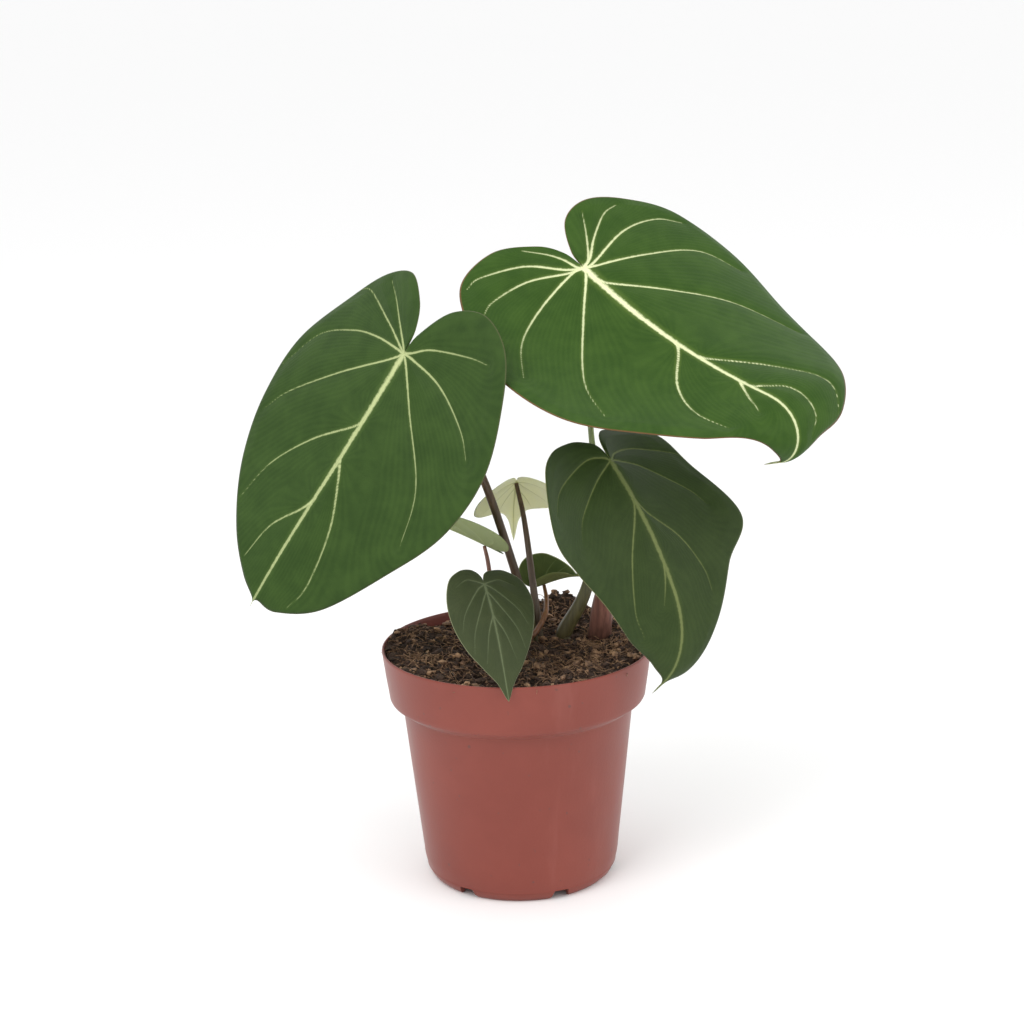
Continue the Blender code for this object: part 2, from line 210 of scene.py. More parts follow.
# the drainage notches are cut up into the foot ring, each with sloping ends
for number in range(NOTCHES):
    bpy.ops.mesh.primitive_cube_add(size=1.0, location=AXIS)
    cutter = bpy.context.object
    cutter.rotation_euler.z = math.radians(FIRST_NOTCH + 360.0 / NOTCHES * number)
    for corner in cutter.data.vertices:
        high = corner.co.z > 0
        corner.co.x = (FOOT_RADIUS + NOTCH_REACH * corner.co.x) * MM
        corner.co.y *= (NOTCH_TOP if high else NOTCH_MOUTH) * MM
        corner.co.z = (NOTCH_HEIGHT if high else UNDER_TABLE) * MM
    cut = pot.modifiers.new("notch", "BOOLEAN")
    cut.object = cutter
    cut.solver = "EXACT"
    bpy.context.view_layer.objects.active = pot
    bpy.ops.object.modifier_apply(modifier=cut.name)
    bpy.data.objects.remove(cutter, do_unlink=True)
pot.data.set_sharp_from_angle(angle=math.radians(38))

# ---------------------------------------------------------------------------
# Compost: damp peat filled almost to the lip and heaped at the back and the left. A lumpy
# bed carries loose crumbs, coir fibres and a few fine roots, all lying where they fell.
# ---------------------------------------------------------------------------
chance = np.random.default_rng(12)
FILL_LEVEL = 103.6
BED_RADIUS = 57.6
BED_SKIRT = 97.0
BED_BASE = 90.0
BASE_RADIUS = 55.0
BED_AROUND = 220
BED_RINGS = 70
FIBRE_REACH = 58.5
FIBRE_STEPS = 7
FIBRE_SIDES = 3

# each heap or hollow: its place from the pot's axis, its height and its spread
HEAPS = ((20, 50, 7.0, 15), (-50, 16, 3.4, 13), (-28, 46, -4.0, 12), (14, 6, 1.8, 20), (44, -20, -1.5, 16),
         (-12, -48, -3.6, 12))
ripples = [(chance.uniform(0.12, 1.1), chance.uniform(0, math.tau), chance.uniform(0, math.tau))
           for _ in range(60)]


def bed(x, y, rough=1.0):
    """Height of the compost in millimetres, at a place measured from the pot's axis."""
    z = FILL_LEVEL + 0.35 * np.sin(0.21 * x + 0.4) * np.cos(0.18 * y)
    for heap_x, heap_y, height, spread in HEAPS:
        z = z + height * np.exp(-((x - heap_x) ** 2 + (y - heap_y) ** 2) / (2.0 * spread ** 2))
    for rate, way, phase in ripples:
        along = x * math.cos(way) + y * math.sin(way)
        z = z + rough * 0.16 / (0.35 + rate) * np.sin(rate * along + phase)
    return z


def build(name, spots, loops):
    """A mesh object from points in millimetres about the pot's axis."""
    mesh = bpy.data.meshes.new(name)
    mesh.from_pydata((np.asarray(spots) * MM + np.array(AXIS)).tolist(), [], loops)
    piece = bpy.data.objects.new(name, mesh)
    bpy.context.scene.collection.objects.link(piece)
    return piece


def fan(centre, start, around):
    """Triangles from one point to the ring of points that begins at start."""
    return [(centre, start + i, start + (i + 1) % around) for i in range(around)]


def skin(rings, around, start=0):
    """Quads between rings of points numbered one ring after the other."""
    loops = []
    for first in range(start, start + (rings - 1) * around, around):
        second = first + around
        loops += [(first + i, second + i, second + (i + 1) % around, first + (i + 1) % around)
                  for i in range(around)]
    return loops


def tube(line, widths, form, aside):
    """Rings of points round a line. The form is the outline of one ring."""
    ahead = np.gradient(line, axis=0)
    ahead /= np.linalg.norm(ahead, axis=1, keepdims=True) + 1e-9
    side = np.cross(ahead, aside)
    side /= np.linalg.norm(side, axis=1, keepdims=True) + 1e-9
    up = np.cross(side, ahead)
    turns = np.linspace(0, math.tau, len(form), endpoint=False)
    over = (form * np.cos(turns))[None, :, None] * side[:, None]
    over = over + (form * np.sin(turns))[None, :, None] * up[:, None]
    return (line[:, None] + widths[:, None, None] * over).reshape(-1, 3)


peat, tree, shader = new_material("damp peat")
grain = speckle(tree, 420.0, 6.0, 0.7)
patches = speckle(tree, 70.0, 4.0)
colour = blend(tree, remap(tree, grain, 0.35, 0.7), (0.020, 0.014, 0.012), (0.115, 0.068, 0.048))
colour = blend(tree, remap(tree, patches, 0.5, 0.75, 0.0, 0.6), colour, (0.10, 0.06, 0.042))
wire(tree, colour, shader, "Base Color")
shader.inputs["Roughness"].default_value = 0.9
shader.inputs["Specular IOR Level"].default_value = 0.25
bump(tree, shader, grain, 0.0012)

coir, tree, shader = new_material("coir")
grain = speckle(tree, 260.0, 4.0, 0.7)
colour = blend(tree, remap(tree, grain, 0.3, 0.75), (0.085, 0.042, 0.024), (0.46, 0.27, 0.15))
wire(tree, colour, shader, "Base Color")
shader.inputs["Roughness"].default_value = 0.8

root_skin, tree, shader = new_material("fine roots")
colour = blend(tree, speckle(tree, 200.0), (0.20, 0.14, 0.11), (0.52, 0.44, 0.38))
wire(tree, colour, shader, "Base Color")
shader.inputs["Roughness"].default_value = 0.6

# the bed: a lumpy top, a skirt inside the wall and a hidden flat base
turns = np.linspace(0, math.tau, BED_AROUND, endpoint=False)
spots = [(0.0, 0.0, float(bed(0.0, 0.0)))]
for radius in np.linspace(0.0, BED_RADIUS, BED_RINGS)[1:]:
    x = radius * np.cos(turns)
    y = radius * np.sin(turns)
    spots += list(zip(x, y, bed(x, y)))
for radius, level in ((BED_RADIUS, BED_SKIRT), (BASE_RADIUS, BED_BASE)):
    spots += [(radius * math.cos(turn), radius * math.sin(turn), level) for turn in turns]
spots.append((0.0, 0.0, BED_BASE))
base_ring = 1 + BED_RINGS * BED_AROUND
loops = fan(0, 1, BED_AROUND) + skin(BED_RINGS + 1, BED_AROUND, 1)
loops += [loop[::-1] for loop in fan(len(spots) - 1, base_ring, BED_AROUND)]
finish(build("soil_bed", spots, loops), peat, "soil")

bpy.ops.mesh.primitive_ico_sphere_add(subdivisions=1, radius=1.0)
ball = bpy.context.object
ball_spots = np.array([vertex.co for vertex in ball.data.vertices])
ball_loops = [tuple(face.vertices) for face in ball.data.polygons]
bpy.data.objects.remove(ball, do_unlink=True)


def scatter(count, reach):
    """Places spread evenly over the bed."""
    radius = reach * np.sqrt(chance.uniform(0, 1, count))
    turn = chance.uniform(0, math.tau, count)
    return radius * np.cos(turn), radius * np.sin(turn)


def tuft(count, x, y, spread):
    """Places crowded round one spot, kept inside the wall."""
    xs = chance.normal(x, spread, count)
    ys = chance.normal(y, spread, count)
    inside = np.hypot(xs, ys) < 54
    return xs[inside], ys[inside]


def crumbs(places, small, large, lift):
    """Squashed, uneven little balls, most of them near the small size."""
    shapes = []
    for x, y in zip(*places):
        size = small * (large / small) ** (chance.uniform() ** 2.2)
        form = ball_spots * (1 + 0.35 * chance.standard_normal((len(ball_spots), 1)).clip(-1, 1))
        form = form * size * np.array((1.0, chance.uniform(0.6, 1.0), chance.uniform(0.45, 0.8)))
        turn = np.array(Matrix.Rotation(chance.uniform(0, math.tau), 3, "Z")
                        @ Matrix.Rotation(chance.uniform(-0.7, 0.7), 3, "X"))
        shapes.append((form @ turn.T + (x, y, bed(x, y) + lift * size), ball_loops))
    return shapes


def fibres(places, length, thick, lift, curl):
    """Thin bent threads that lie on the bed, arch a little and taper to one end."""
    ends = [tuple(range(FIBRE_SIDES)),
            tuple(reversed(range((FIBRE_STEPS - 1) * FIBRE_SIDES, FIBRE_STEPS * FIBRE_SIDES)))]
    loops = ends + skin(FIBRE_STEPS, FIBRE_SIDES)
    part_way = np.linspace(0, 1, FIBRE_STEPS)
    shapes = []
    for x, y in zip(*places):
        way = chance.uniform(0, math.tau)
        run = length * chance.uniform(0.4, 1.3)
        bend = chance.normal(0, curl)
        arch = chance.uniform(0.0, 1.0) ** 2 * lift * run
        widths = thick * chance.uniform(0.6, 1.3) * (1 - 0.6 * part_way)
        line = []
        for part in part_way:
            over = arch * math.sin(math.pi * min(1.0, part * 1.15)) + 0.3 * part
            line.append((x, y, bed(x, y, 0.6) + 0.35 + over))
            x += run / FIBRE_STEPS * math.cos(way)
            y += run / FIBRE_STEPS * math.sin(way)
            if x * x + y * y > FIBRE_REACH ** 2:
                x *= 0.985
                y *= 0.985
            way += bend / FIBRE_STEPS
        shapes.append((tube(np.array(line), widths, np.ones(FIBRE_SIDES), (0, 0, 1.0)), loops))
    return shapes


def strew(name, shapes, material, smooth=True):
    """Many small closed shapes joined as one piece of the compost."""
    points = []
    faces = []
    start = 0
    for spots, loops in shapes:
        points.append(spots)
        faces += [tuple(start + i for i in loop) for loop in loops]
        start += len(spots)
    finish(build(name, np.vstack(points), faces), material, smooth=smooth)


strew("crumbs_dark", crumbs(scatter(2600, 57.0), 0.45, 2.4, 0.25), peat, smooth=False)
strew("crumbs_tan", crumbs(scatter(620, 57.0), 0.5, 2.4, 0.6), coir, smooth=False)
strew("coir_fibres", fibres(scatter(900, 55.0), 11.0, 0.24, 0.2, 1.8), coir)
strew("coir_tuft_right", fibres(tuft(260, 42, 0, 8), 9.0, 0.3, 0.3, 2.4), coir)
strew("coir_tuft_front", fibres(tuft(220, 18, -22, 11), 9.0, 0.3, 0.25, 2.4), coir)
strew("coir_tuft_left", fibres(tuft(110, -42, -14, 7), 10.0, 0.3, 0.3, 2.4), coir)
strew("coir_tuft_back", fibres(tuft(160, 16, 43, 11), 9.0, 0.26, 0.35, 2.2), coir)
strew("coir_tuft_side", fibres(tuft(70, -50, 14, 5), 8.0, 0.26, 0.35, 2.2), coir)
strew("peat_fibres", fibres(scatter(700, 55.0), 7.0, 0.22, 0.22, 2.0), peat)
strew("fine_roots", fibres(scatter(46, 55.0), 12.0, 0.13, 0.10, 1.2), root_skin)

# ---------------------------------------------------------------------------
# Leaf blades: velvety hearts with a cream midrib and arching side veins. Each is a thin
# living sheet, bent along its midrib, folded and curled to either side of it, with a fine
# margin of its own colour. It hangs from the end of its stalk.
# ---------------------------------------------------------------------------
# an outline is the reach from the stalk to the edge at these angles from the tip
REACH_ANGLES = (0, 5, 14, 30, 50, 72, 96, 118, 140, 158, 172)
TIP_HALF_WIDTH = 1.1
FEWEST_RINGS = 12
RELIEF_SPREAD = 5.0
RELIEF_MARGIN = 6.0
EDGE_MARGIN = 1.2


def smooth_path(points, samples):
    """Catmull-Rom curve through the points."""
    pts = np.asarray(points, float)
    ends = np.vstack([2 * pts[0] - pts[1], pts, 2 * pts[-1] - pts[-2]])
    t = np.linspace(0, 1, samples, endpoint=False)[:, None]
    spans = []
    for i in range(1, len(ends) - 2):
        a, b, c, d = ends[i - 1:i + 3]
        spans.append(0.5 * (2 * b + (c - a) * t + (2 * a - 5 * b + 4 * c - d) * t ** 2
                            + (3 * b - a - 3 * c + d) * t ** 3))
    return np.vstack(spans + [pts[-1:]])


class BentBlade:
    """Takes a flat blade to space: x across and y along the midrib, in millimetres."""

    def __init__(self, stalk_at, length, heading, lean, droop, hook, hook_from, roll, twist, folds, curls):
        self.length = length
        self.roll = math.radians(roll)
        self.twist = math.radians(twist)
        self.folds = np.radians(folds)
        self.curls = np.radians(curls)
        self.stations = np.linspace(-0.9 * length, 1.3 * length, 900)
        part = np.minimum(self.stations / length, 1.0)
        hooked = np.clip((part - hook_from) / (1 - hook_from), 0, None) ** 1.5
        self.slope = np.radians(lean + droop * part + hook * hooked)
        self.ahead = np.array((math.cos(math.radians(heading)), math.sin(math.radians(heading)), 0.0))
        along = np.outer(np.cos(self.slope), self.ahead)
        along[:, 2] = np.sin(self.slope)
        step = self.stations[1] - self.stations[0]
        path = np.vstack([np.zeros(3), np.cumsum((along[1:] + along[:-1]) * 0.5 * step, axis=0)])
        at_stalk = [np.interp(0, self.stations, path[:, k]) for k in range(3)]
        self.path = path - at_stalk + np.array(stalk_at)

    def point(self, x, y):
        """Places on the middle of the blade."""
        rib = np.stack([np.interp(y, self.stations, self.path[:, k]) for k in range(3)], -1)
        slope = np.interp(y, self.stations, self.slope)
        up = -np.sin(slope)[..., None] * self.ahead
        up[..., 2] = np.cos(slope)
        side = np.array((self.ahead[1], -self.ahead[0], 0.0))
        turn = (self.roll + self.twist * y / self.length)[..., None]
        across = np.cos(turn) * side + np.sin(turn) * up
        normal = np.cos(turn) * up - np.sin(turn) * side
        fold = np.where(x < 0, self.folds[0], self.folds[1])
        curl = np.where(x < 0, self.curls[0], self.curls[1])
        reach = np.abs(x)
        out = (np.sin(fold + curl * reach) - np.sin(fold)) / curl
        lift = (np.cos(fold) - np.cos(fold + curl * reach)) / curl
        return rib + (np.sign(x) * out)[..., None] * across + lift[..., None] * normal

    def normal(self, x, y):
        """The way that the upper face looks."""
        across = self.point(x + 0.05, y) - self.point(x - 0.05, y)
        along = self.point(x, y + 0.05) - self.point(x, y - 0.05)
        facing = np.cross(across, along)
        return facing / np.linalg.norm(facing, axis=-1, keepdims=True)

    def beneath(self, y, depth):
        """A place under the midrib."""
        middle = np.zeros(1)
        return (self.point(middle, middle + y) - depth * self.normal(middle, middle + y))[0]


def blade_rim(left, right, tail, spacing):
    """The outline in even steps: the left half from notch to tip, then the right half back."""
    halves = []
    for reaches, side in ((left, -1), (right, 1)):
        turns = np.radians(REACH_ANGLES[1:])
        lobe = [(reach * math.sin(turn), reach * math.cos(turn)) for turn, reach in zip(turns, reaches[1:])]
        tip = [(TIP_HALF_WIDTH, reaches[0]), (0.0, reaches[0] + tail)]
        edge = smooth_path([(0.0, -1.0)] + lobe[::-1] + tip, 24)
        edge[:, 0] = np.maximum(edge[:, 0], 0.0)
        run = np.concatenate([[0], np.cumsum(np.linalg.norm(np.diff(edge, axis=0), axis=1))])
        even = np.linspace(0, run[-1], int(run[-1] / spacing))
        across = np.interp(even, run, edge[:, 0]) * side
        halves.append(np.stack([across, np.interp(even, run, edge[:, 1])], 1))
    return np.vstack([halves[0], halves[1][-2:0:-1]])


def near_line(points, line):
    """How far each point is from a line, and how far along the line its nearest place is."""
    best = np.full(len(points), 1e9)
    along = np.zeros(len(points))
    for k, (a, b) in enumerate(zip(line[:-1], line[1:])):
        t = np.clip(((points - a) @ (b - a)) / ((b - a) @ (b - a) + 1e-9), 0, 1)
        away = np.linalg.norm(points - a - t[:, None] * (b - a), axis=1)
        nearer = away < best
        best = np.where(nearer, away, best)
        along = np.where(nearer, (k + t) / (len(line) - 1), along)
    return best, along


def vein_marks(flat, length, tail, veins, midrib_width, vein_width):
    """For each point: widths from the nearest vein, its strength, its place in the cell, and its distance."""
    midrib = np.array([(0.0, 0.0), (0.0, 0.5 * length), (0.0, length + tail)])
    nearest, along = near_line(flat, midrib)
    widths = nearest / (midrib_width * (1.0 - 0.72 * along ** 0.8))
    strength = 1.0 - 0.25 * along
    second = np.full(len(flat), 1e9)
    for vein in veins:
        away, along = near_line(flat, smooth_path(vein, 8))
        side_widths = away / (vein_width * (1.2 - 0.85 * along))
        strength = np.where(side_widths < widths, 1.0 - 0.6 * along, strength)
        widths = np.minimum(widths, side_widths)
        second = np.minimum(np.maximum(nearest, away), second)
        nearest = np.minimum(nearest, away)
    return widths, strength, nearest / (nearest + second + 1e-6), nearest


def face_outwards(mesh):
    """Turn every face of a closed mesh outwards."""
    shape = bmesh.new()
    shape.from_mesh(mesh)
    bmesh.ops.recalc_face_normals(shape, faces=shape.faces)
    shape.to_mesh(mesh)
    shape.free()


def leaf(name, node, material, form, left, right, tail, veins, spacing, relief, thickness=0.7,
         midrib_width=1.25, vein_width=0.5):
    """A fine closed blade, sunk along its veins, with its pattern stored on its points."""
    rim = blade_rim(left, right, tail, spacing)
    around = len(rim)
    half_width = max(np.ptp(rim[:, 0]) * 0.5, 5)
    upper = np.linspace(0, 1, max(int(half_width / spacing), FEWEST_RINGS))[1:]
    lower = np.linspace(0, 1, max(int(0.45 * half_width / spacing), FEWEST_RINGS))[-2:0:-1]
    rings = np.concatenate([upper, lower])
    flat = np.vstack([np.zeros((1, 2))] + [rim * part for part in rings] + [np.zeros((1, 2))])
    reach = np.linalg.norm(rim, axis=1)
    margin = np.concatenate([[half_width]] + [reach * (1 - part) for part in rings] + [[half_width]])
    under = np.concatenate([np.zeros(1 + around * (len(upper) - 1)), np.full(around, 0.5),
                            np.ones(around * len(lower) + 1)])
    widths, strength, cell, away = vein_marks(flat, form.length, tail, veins, midrib_width, vein_width)
    height = relief * (np.tanh(away / RELIEF_SPREAD) - 0.25 * np.exp(-(widths / 1.6) ** 2))
    height *= np.clip(margin / RELIEF_MARGIN, 0, 1)
    half = 0.5 * thickness * np.clip(margin / EDGE_MARGIN, 0, 1) ** 0.5
    offset = height + np.select([under < 0.4, under > 0.6], [half, -half], 0.0)
    spots = form.point(flat[:, 0], flat[:, 1]) + offset[:, None] * form.normal(flat[:, 0], flat[:, 1])
    last_ring = 1 + (len(rings) - 1) * around
    loops = fan(0, 1, around) + skin(len(rings), around, 1) + fan(len(flat) - 1, last_ring, around)
    piece = build(name, spots, loops)
    marks = {"vein": widths, "fade": strength, "cell": cell, "margin": margin, "under": under}
    for mark, values in marks.items():
        piece.data.attributes.new(mark, "FLOAT", "POINT").data.foreach_set("value", values.astype(np.float32))
    face_outwards(piece.data)
    finish(piece, material, node)


def both_sides(veins):
    """The same veins to either side of the midrib."""
    return [[(side * x, y) for x, y in vein] for vein in veins for side in (1, -1)]


# one pattern serves every blade: lamina, halo beside the veins, veins, margin and underside
pattern = bpy.data.node_groups.new("blade pattern", "ShaderNodeTree")
for socket in ("Blade dark", "Blade light", "Halo", "Vein", "Margin", "Underside"):
    pattern.interface.new_socket(socket, in_out="INPUT", socket_type="NodeSocketColor")
for socket in ("Margin width", "Halo amount", "Vein amount"):
    pattern.interface.new_socket(socket, in_out="INPUT", socket_type="NodeSocketFloat")
pattern.interface.new_socket("Colour", in_out="OUTPUT", socket_type="NodeSocketColor")
pattern.interface.new_socket("Height", in_out="OUTPUT", socket_type="NodeSocketFloat")
given = add(pattern, "NodeGroupInput").outputs
result = add(pattern, "NodeGroupOutput")
vein, fade, cell, margin, under = (
    add(pattern, "ShaderNodeAttribute", attribute_name=mark).outputs["Fac"]
    for mark in ("vein", "fade", "cell", "margin", "under"))
feather = remap(pattern, speckle(pattern, 520.0, 4.0, 0.7), 0.3, 0.7, -0.3, 0.3, "LINEAR")
ragged = combine(pattern, "ADD", vein, feather)
mottle = remap(pattern, speckle(pattern, 90.0, 4.0, 0.6), 0.3, 0.72, 0.15, 0.55)
# fine ribbing parallel to the veins: these stripes raise a small bump, and the same stripes also lighten and
# darken the blade colour as painted shade of the ribbing
ribbing_and_painted_shade = combine(pattern, "SINE", combine(pattern, "MULTIPLY", cell, 75.0))
ribbing_and_painted_shade = remap(pattern, ribbing_and_painted_shade, -1.0, 1.0, 0.0, 0.14)
colour = blend(pattern, combine(pattern, "ADD", mottle, ribbing_and_painted_shade), given["Blade dark"], given["Blade light"])
halo = combine(pattern, "MULTIPLY", remap(pattern, ragged, 0.8, 3.6, 1.0, 0.0),
               combine(pattern, "MULTIPLY", fade, given["Halo amount"]))
colour = blend(pattern, halo, colour, given["Halo"])
core = combine(pattern, "MULTIPLY", remap(pattern, ragged, 0.35, 1.45, 1.0, 0.0),
               combine(pattern, "MULTIPLY", fade, given["Vein amount"]))
colour = blend(pattern, core, colour, given["Vein"])
trim = combine(pattern, "DIVIDE", margin, given["Margin width"])
colour = blend(pattern, remap(pattern, trim, 0.5, 1.2, 1.0, 0.0), colour, given["Margin"])
below = blend(pattern, remap(pattern, vein, 0.7, 1.6, 0.55, 0.0), given["Underside"], given["Vein"])
colour = blend(pattern, remap(pattern, under, 0.45, 0.6), colour, below)
nap = combine(pattern, "MULTIPLY", speckle(pattern, 1500.0, 2.0), 0.4)
pattern.links.new(colour, result.inputs["Colour"])
pattern.links.new(combine(pattern, "ADD", nap, ribbing_and_painted_shade), result.inputs["Height"])


def blade_material(name, dark, light, halo, vein, margin, underside, margin_width, halo_amount, vein_amount,
                   sheen=0.03, roughness=0.5, glow=0.0):
    """One blade's finish. The glow lets light through a pale, thin blade."""
    material, tree, shader = new_material(name)
    group = add(tree, "ShaderNodeGroup", node_tree=pattern)
    given = {"Blade dark": dark, "Blade light": light, "Halo": halo, "Vein": vein, "Margin": margin,
             "Underside": underside, "Margin width": margin_width, "Halo amount": halo_amount,
             "Vein amount": vein_amount}
    for key, value in given.items():
        wire(tree, value, group, key)
    tree.links.new(group.outputs["Colour"], shader.inputs["Base Color"])
    shader.inputs["Roughness"].default_value = roughness
    shader.inputs["Specular IOR Level"].default_value = 0.1
    shader.inputs["Subsurface Weight"].default_value = glow
    shader.inputs["Subsurface Radius"].default_value = (1.0, 1.0, 0.5)
    shader.inputs["Subsurface Scale"].default_value = 0.004
    shader.inputs["Sheen Weight"].default_value = sheen
    shader.inputs["Sheen Roughness"].default_value = 0.45
    shader.inputs["Sheen Tint"].default_value = (0.75, 0.95, 0.7, 1.0)
    bump(tree, shader, group.outputs["Height"], 0.0003, 0.6)
    return material


# left blade: large, hanging steeply to the left, with yellowish veins
left_form = BentBlade(stalk_at=(-44.3, -24.5, 242.8), length=123, heading=-171, lean=-57, droop=3, hook=-5,
                      hook_from=0.55, roll=38, twist=25, folds=(-15, -5), curls=(0.39, -0.24))
left_green = blade_material(
    "left blade", dark=(0.021, 0.047, 0.009), light=(0.046, 0.089, 0.018), halo=(0.080, 0.135, 0.030),
    vein=(0.50, 0.56, 0.27), margin=(0.085, 0.10, 0.04), underside=(0.16, 0.22, 0.09), margin_width=0.5,
    halo_amount=0.45, vein_amount=0.9)
leaf("leaf_left", "blade_left", left_green, left_form,
     left=(123, 124, 115, 92, 79, 69, 58, 52, 42, 28, 11),
     right=(123, 117, 105, 89, 77, 69, 55, 48, 39, 24, 12), tail=4.0,
     veins=[[(0, 0), (3, -3), (13, -10), (24, -17), (35, -22)],
            [(0, 0), (5, -2), (19, -7), (44, -13), (54, -9)],
            [(0, 0), (6, 0), (20, 1), (36, 5), (55, 16), (62, 36)],
            [(0, 0), (5, 5), (27, 23), (46, 43), (52, 56)],
            [(0, 34), (3, 38), (18, 53), (29, 72), (32, 92)],
            [(0, 74), (3, 80), (11, 93), (14, 110)],
            [(0, 0), (-3, -2), (-11, -8), (-29, -14), (-41, -16)],
            [(0, 0), (-5, 0), (-23, 3), (-43, 13), (-53, 22)],
            [(0, 0), (-4, 4), (-17, 20), (-37, 44), (-44, 68)],
            [(0, 52), (-4, 59), (-13, 80), (-17, 106), (-14, 120)]],
     spacing=0.8, relief=1.1)

# top blade: the newest and largest, spread to the right, with the boldest cream veins
top_form = BentBlade(stalk_at=(32.8, 5.3, 272.7), length=145, heading=-42, lean=-34, droop=26, hook=-158,
                     hook_from=0.72, roll=-21, twist=15, folds=(2, -19), curls=(-0.33, 0.45))
top_green = blade_material(
    "top blade", dark=(0.022, 0.058, 0.007), light=(0.050, 0.104, 0.016), halo=(0.115, 0.18, 0.032),
    vein=(0.80, 0.84, 0.50), margin=(0.19, 0.10, 0.045), underside=(0.20, 0.27, 0.11), margin_width=0.7,
    halo_amount=0.55, vein_amount=0.97)
leaf("leaf_top", "blade_top", top_green, top_form,
     left=(145, 133, 128, 114, 93, 82, 66, 50, 40, 28, 11),
     right=(145, 136, 120, 102, 94, 76, 60, 53, 40, 24, 12), tail=9.0,
     veins=[[(0, 0), (-5, -3), (-13, -14), (-20, -26)],
            [(0, 0), (-6, -3), (-15, -11), (-28, -20), (-37, -22)],
            [(0, 0), (-6, 0), (-30, -8), (-50, -8), (-63, -2)],
            [(0, 0), (-5, 2), (-30, 8), (-58, 16), (-71, 32)],
            [(0, 8), (-4, 14), (-24, 31), (-46, 51), (-60, 78)],
            [(0, 70), (-4, 75), (-22, 95), (-33, 112), (-26, 126)],
            [(0, 98), (-5, 102), (-12, 109), (-13, 122), (-8, 130)],
            [(0, 0), (2, -2), (4, -9), (8, -16), (15, -24)],
            [(0, 0), (6, -4), (19, -17), (38, -23), (47, -21)],
            [(0, 0), (6, -2), (23, -10), (42, -10), (52, -5)],
            [(0, 0), (7, -1), (27, 4), (47, 14), (63, 31)],
            [(0, 1), (4, 6), (19, 21), (44, 47), (55, 68)],
            [(0, 56), (3, 61), (18, 74), (26, 90), (26, 108)],
            [(0, 92), (2, 95), (6, 102), (10, 111)]],
     spacing=0.9, relief=1.2, midrib_width=1.4, vein_width=0.58)

# right blade: darker, hanging over the right of the lip, with dull olive veins
right_form = BentBlade(stalk_at=(41.7, -31.9, 196.2), length=105, heading=-35, lean=-51, droop=-30, hook=-53,
                       hook_from=0.55, roll=-9, twist=-34, folds=(-19, -21), curls=(0.45, 1.06))
right_green = blade_material(
    "right blade", dark=(0.024, 0.041, 0.011), light=(0.041, 0.065, 0.018), halo=(0.065, 0.092, 0.024),
    vein=(0.20, 0.23, 0.085), margin=(0.22, 0.22, 0.10), underside=(0.14, 0.18, 0.08), margin_width=0.3,
    halo_amount=0.35, vein_amount=0.75, sheen=0.08)
leaf("leaf_right", "blade_right", right_green, right_form,
     left=(105, 98, 81, 68, 67, 48, 43, 28, 20, 14, 8),
     right=(105, 100, 88, 65, 58, 60, 42, 30, 20, 13, 8), tail=9.0,
     veins=[[(0, 0), (3, -3), (11, -5), (26, -1), (37, 4), (46, 12)],
            [(0, 0), (3, 1), (13, 6), (28, 17), (34, 26)],
            [(0, 16), (2, 23), (13, 43), (19, 65), (16, 82)],
            [(0, 48), (2, 55), (6, 66)],
            [(0, 0), (-8, -3), (-23, -2), (-42, 7), (-46, 16)],
            [(0, 0), (-6, 1), (-19, 7), (-34, 23), (-39, 33)],
            [(0, 16), (-3, 25), (-15, 40), (-20, 56), (-20, 67)]],
     spacing=0.72, relief=0.9, midrib_width=1.3, vein_width=0.45)

# front blade: small and greyish, its tip over the front of the lip
front_form = BentBlade(stalk_at=(-13.0, -43.5, 146.8), length=49, heading=-66, lean=-51, droop=-28, hook=10,
                       hook_from=0.55, roll=14, twist=-20, folds=(-5, 3), curls=(0.4, -0.3))
front_green = blade_material(
    "front blade", dark=(0.036, 0.048, 0.020), light=(0.062, 0.076, 0.032), halo=(0.09, 0.11, 0.055),
    vein=(0.16, 0.19, 0.10), margin=(0.24, 0.25, 0.14), underside=(0.16, 0.20, 0.10), margin_width=0.3,
    halo_amount=0.3, vein_amount=0.7, sheen=0.1)
leaf("leaf_front", "blade_front", front_green, front_form,
     left=(49, 44, 38, 31, 26, 23, 20, 15, 9, 6, 3.5),
     right=(49, 43, 37, 31, 26, 22, 18, 13, 9, 6, 3.5), tail=2.0,
     veins=both_sides([[(0, 0), (3, -1), (9, -2), (15, 1)], [(0, 0), (5, 3), (13, 12), (16, 20)],
                       [(0, 3), (4, 9), (10, 20), (12, 30)], [(0, 14), (4, 22), (7, 34)]]),
     spacing=0.4, relief=0.6, thickness=0.5, midrib_width=0.7, vein_width=0.3)

# edge blade: small, seen along its edge behind the left one, sage green below
edge_form = BentBlade(stalk_at=(-12.3, -5.0, 153.2), length=42, heading=176, lean=28, droop=-10, hook=-10,
                      hook_from=0.55, roll=-24, twist=0, folds=(14, 10), curls=(-0.1, -0.1))
edge_sage = blade_material(
    "sage underside", dark=(0.06, 0.10, 0.04), light=(0.10, 0.15, 0.06), halo=(0.2, 0.26, 0.1),
    vein=(0.40, 0.44, 0.24), margin=(0.07, 0.09, 0.05), underside=(0.30, 0.35, 0.18), margin_width=0.5,
    halo_amount=0.3, vein_amount=0.7, sheen=0.02, roughness=0.6, glow=0.2)
EDGE_REACHES = (42, 39, 33, 27, 23, 20, 18, 15, 12, 9, 5)
leaf("leaf_edge", "blade_edge", edge_sage, edge_form,
     left=EDGE_REACHES, right=EDGE_REACHES, tail=3.0,
     veins=both_sides([[(0, 0), (7, -2), (14, 1)], [(0, 0), (7, 6), (15, 16)], [(0, 6), (6, 16), (9, 28)]]),
     spacing=0.5, relief=0.4, thickness=0.6, midrib_width=0.7, vein_width=0.3)
